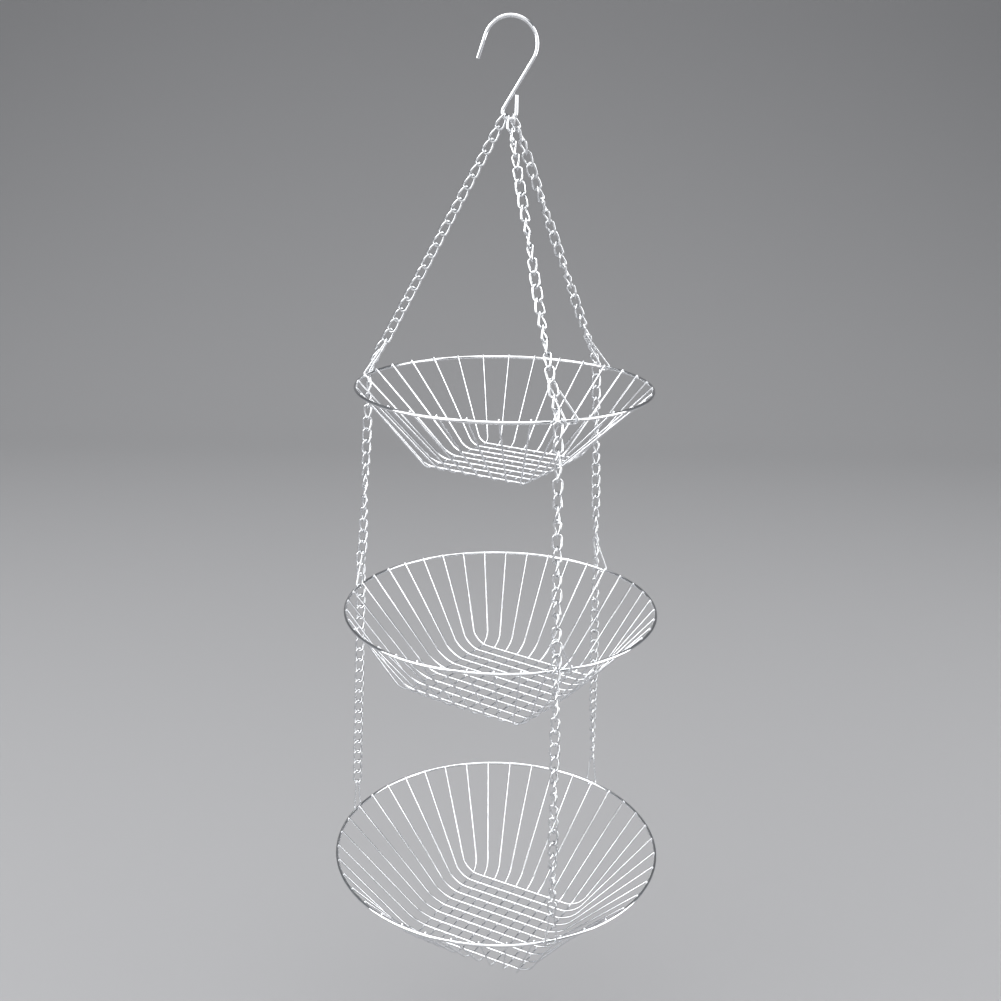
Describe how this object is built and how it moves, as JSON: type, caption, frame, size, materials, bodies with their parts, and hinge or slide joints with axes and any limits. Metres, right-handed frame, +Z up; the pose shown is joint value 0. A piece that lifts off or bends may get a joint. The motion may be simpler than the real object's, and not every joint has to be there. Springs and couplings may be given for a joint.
{
  "type": "hanging wire produce basket",
  "caption": "Hanging kitchen storage baskets: round chrome wire bowls of growing size in tiers, clipped to chains below an S-hook, for fruit and vegetables.",
  "frame": {"origin": "inside of the S-hook's top bend, where the set hangs from its support", "axes": "+Z up; X and Y along the two directions of the top basket's base wires"},
  "size_m": [0.3088, 0.3073, 0.8273],
  "materials": {
    "hook": "polished chrome plate on round steel wire",
    "chain": "bright plated steel chain wire",
    "clip": "bright plated spring wire",
    "rim": "polished chrome plate on round steel wire",
    "mesh": "bright chrome plate on thin welded wire"
  },
  "bodies": {
    "s_hook": {"s_hook": "hook"},
    "hook_link": {"hook_link_front": "chain"},
    "top_basket": {"hook_link_rear": "chain", "hook_link_left": "chain", "upper_chain_front": "chain", "upper_chain_rear": "chain", "upper_chain_left": "chain", "junction_link_top_front": "chain", "junction_link_top_rear": "chain", "junction_link_top_left": "chain", "rim_chain_top_front": "chain", "rim_chain_top_rear": "chain", "rim_chain_top_left": "chain", "clip_top_front": "clip", "clip_top_rear": "clip", "clip_top_left": "clip", "rim_top": "rim", "basket_top": "mesh"},
    "middle_pivot_front": {"pivot_link_middle_front": "chain"},
    "middle_chain_front": {"middle_chain_front": "chain"},
    "middle_end_front": {"end_link_middle_front": "chain"},
    "middle_pivot_rear": {"pivot_link_middle_rear": "chain"},
    "middle_chain_rear": {"middle_chain_rear": "chain"},
    "middle_end_rear": {"end_link_middle_rear": "chain"},
    "middle_pivot_left": {"pivot_link_middle_left": "chain"},
    "middle_chain_left": {"middle_chain_left": "chain"},
    "middle_end_left": {"end_link_middle_left": "chain"},
    "middle_basket": {"junction_link_middle_front": "chain", "junction_link_middle_rear": "chain", "junction_link_middle_left": "chain", "clip_middle_front": "clip", "clip_middle_rear": "clip", "clip_middle_left": "clip", "rim_chain_middle_front": "chain", "rim_chain_middle_rear": "chain", "rim_chain_middle_left": "chain", "rim_middle": "rim", "basket_middle": "mesh"},
    "bottom_pivot_front": {"pivot_link_bottom_front": "chain"},
    "bottom_chain_front": {"lower_chain_front": "chain"},
    "bottom_end_front": {"end_link_bottom_front": "chain"},
    "bottom_pivot_rear": {"pivot_link_bottom_rear": "chain"},
    "bottom_chain_rear": {"lower_chain_rear": "chain"},
    "bottom_end_rear": {"end_link_bottom_rear": "chain"},
    "bottom_pivot_left": {"pivot_link_bottom_left": "chain"},
    "bottom_chain_left": {"lower_chain_left": "chain"},
    "bottom_end_left": {"end_link_bottom_left": "chain"},
    "bottom_basket": {"junction_link_bottom_front": "chain", "junction_link_bottom_rear": "chain", "junction_link_bottom_left": "chain", "clip_bottom_front": "clip", "clip_bottom_rear": "clip", "clip_bottom_left": "clip", "rim_bottom": "rim", "basket_bottom": "mesh"}
  },
  "joints": [
    {"name": "swing_fore_aft", "type": "hinge", "parent": "s_hook", "child": "hook_link", "pos_m": [0, 0, -0.0753], "axis": [0.866, 0.5, 0], "range_deg": [-12, 12]},
    {"name": "swing_sideways", "type": "hinge", "parent": "hook_link", "child": "top_basket", "pos_m": [0, 0, -0.0698], "axis": [-0.5, 0.866, 0], "range_deg": [-8, 8]},
    {"name": "middle_sway_x", "type": "hinge", "parent": "top_basket", "child": "middle_pivot_front", "pos_m": [0.09772, -0.08799, -0.2913], "axis": [1, 0, 0], "range_deg": [-12, 12]},
    {"name": "middle_sway_y", "type": "hinge", "parent": "middle_pivot_front", "child": "middle_chain_front", "pos_m": [0.09822, -0.08844, -0.30217], "axis": [0, 1, 0], "range_deg": [-12, 12]},
    {"name": "middle_level_y", "type": "hinge", "parent": "middle_chain_front", "child": "middle_end_front", "pos_m": [0.10468, -0.09425, -0.44346], "axis": [0, 1, 0], "range_deg": [-12, 12]},
    {"name": "middle_level_x", "type": "hinge", "parent": "middle_end_front", "child": "middle_basket", "pos_m": [0.10518, -0.0947, -0.45433], "axis": [1, 0, 0], "range_deg": [-12, 12]},
    {"name": "middle_sway_x_rear", "type": "hinge", "parent": "top_basket", "child": "middle_pivot_rear", "pos_m": [0.02284, 0.1295, -0.2913], "axis": [1, 0, 0], "range_deg": [-12, 12]},
    {"name": "middle_sway_y_rear", "type": "hinge", "parent": "middle_pivot_rear", "child": "middle_chain_rear", "pos_m": [0.02295, 0.13016, -0.30217], "axis": [0, 1, 0], "range_deg": [-12, 12]},
    {"name": "middle_level_y_rear", "type": "hinge", "parent": "middle_chain_rear", "child": "middle_end_rear", "pos_m": [0.02446, 0.13872, -0.44346], "axis": [0, 1, 0], "range_deg": [-12, 12]},
    {"name": "middle_sway_x_left", "type": "hinge", "parent": "top_basket", "child": "middle_pivot_left", "pos_m": [-0.13078, -0.01375, -0.2913], "axis": [1, 0, 0], "range_deg": [-12, 12]},
    {"name": "middle_sway_y_left", "type": "hinge", "parent": "middle_pivot_left", "child": "middle_chain_left", "pos_m": [-0.13144, -0.01381, -0.30217], "axis": [0, 1, 0], "range_deg": [-12, 12]},
    {"name": "middle_level_y_left", "type": "hinge", "parent": "middle_chain_left", "child": "middle_end_left", "pos_m": [-0.14009, -0.01472, -0.44346], "axis": [0, 1, 0], "range_deg": [-12, 12]},
    {"name": "bottom_sway_x", "type": "hinge", "parent": "middle_basket", "child": "bottom_pivot_front", "pos_m": [0.10716, -0.09649, -0.4978], "axis": [1, 0, 0], "range_deg": [-12, 12]},
    {"name": "bottom_sway_y", "type": "hinge", "parent": "bottom_pivot_front", "child": "bottom_chain_front", "pos_m": [0.1075, -0.0968, -0.50896], "axis": [0, 1, 0], "range_deg": [-12, 12]},
    {"name": "bottom_level_y", "type": "hinge", "parent": "bottom_chain_front", "child": "bottom_end_front", "pos_m": [0.11295, -0.1017, -0.68748], "axis": [0, 1, 0], "range_deg": [-12, 12]},
    {"name": "bottom_level_x", "type": "hinge", "parent": "bottom_end_front", "child": "bottom_basket", "pos_m": [0.11329, -0.102, -0.69864], "axis": [1, 0, 0], "range_deg": [-12, 12]},
    {"name": "bottom_sway_x_rear", "type": "hinge", "parent": "middle_basket", "child": "bottom_pivot_rear", "pos_m": [0.02504, 0.14201, -0.4978], "axis": [1, 0, 0], "range_deg": [-12, 12]},
    {"name": "bottom_sway_y_rear", "type": "hinge", "parent": "bottom_pivot_rear", "child": "bottom_chain_rear", "pos_m": [0.02512, 0.14246, -0.50896], "axis": [0, 1, 0], "range_deg": [-12, 12]},
    {"name": "bottom_level_y_rear", "type": "hinge", "parent": "bottom_chain_rear", "child": "bottom_end_rear", "pos_m": [0.02639, 0.14968, -0.68748], "axis": [0, 1, 0], "range_deg": [-12, 12]},
    {"name": "bottom_sway_x_left", "type": "hinge", "parent": "middle_basket", "child": "bottom_pivot_left", "pos_m": [-0.14341, -0.01507, -0.4978], "axis": [1, 0, 0], "range_deg": [-12, 12]},
    {"name": "bottom_sway_y_left", "type": "hinge", "parent": "bottom_pivot_left", "child": "bottom_chain_left", "pos_m": [-0.14386, -0.01512, -0.50896], "axis": [0, 1, 0], "range_deg": [-12, 12]},
    {"name": "bottom_level_y_left", "type": "hinge", "parent": "bottom_chain_left", "child": "bottom_end_left", "pos_m": [-0.15115, -0.01589, -0.68748], "axis": [0, 1, 0], "range_deg": [-12, 12]}
  ],
  "couplings": [
    {"joint": "middle_level_y", "follows": "middle_sway_y", "ratio": -0.9383},
    {"joint": "middle_level_x", "follows": "middle_sway_x", "ratio": -0.9292},
    {"joint": "middle_level_y_rear", "follows": "middle_sway_y", "ratio": -0.9383},
    {"joint": "middle_sway_x_rear", "follows": "middle_sway_x", "ratio": 1},
    {"joint": "middle_sway_y_rear", "follows": "middle_sway_y", "ratio": 1},
    {"joint": "middle_level_y_left", "follows": "middle_sway_y", "ratio": -0.9383},
    {"joint": "middle_sway_x_left", "follows": "middle_sway_x", "ratio": 1},
    {"joint": "middle_sway_y_left", "follows": "middle_sway_y", "ratio": 1},
    {"joint": "bottom_level_y", "follows": "bottom_sway_y", "ratio": -0.9518},
    {"joint": "bottom_level_x", "follows": "bottom_sway_x", "ratio": -0.9459},
    {"joint": "bottom_level_y_rear", "follows": "bottom_sway_y", "ratio": -0.9518},
    {"joint": "bottom_sway_x_rear", "follows": "bottom_sway_x", "ratio": 1},
    {"joint": "bottom_sway_y_rear", "follows": "bottom_sway_y", "ratio": 1},
    {"joint": "bottom_level_y_left", "follows": "bottom_sway_y", "ratio": -0.9518},
    {"joint": "bottom_sway_x_left", "follows": "bottom_sway_x", "ratio": 1},
    {"joint": "bottom_sway_y_left", "follows": "bottom_sway_y", "ratio": 1}
  ]
}
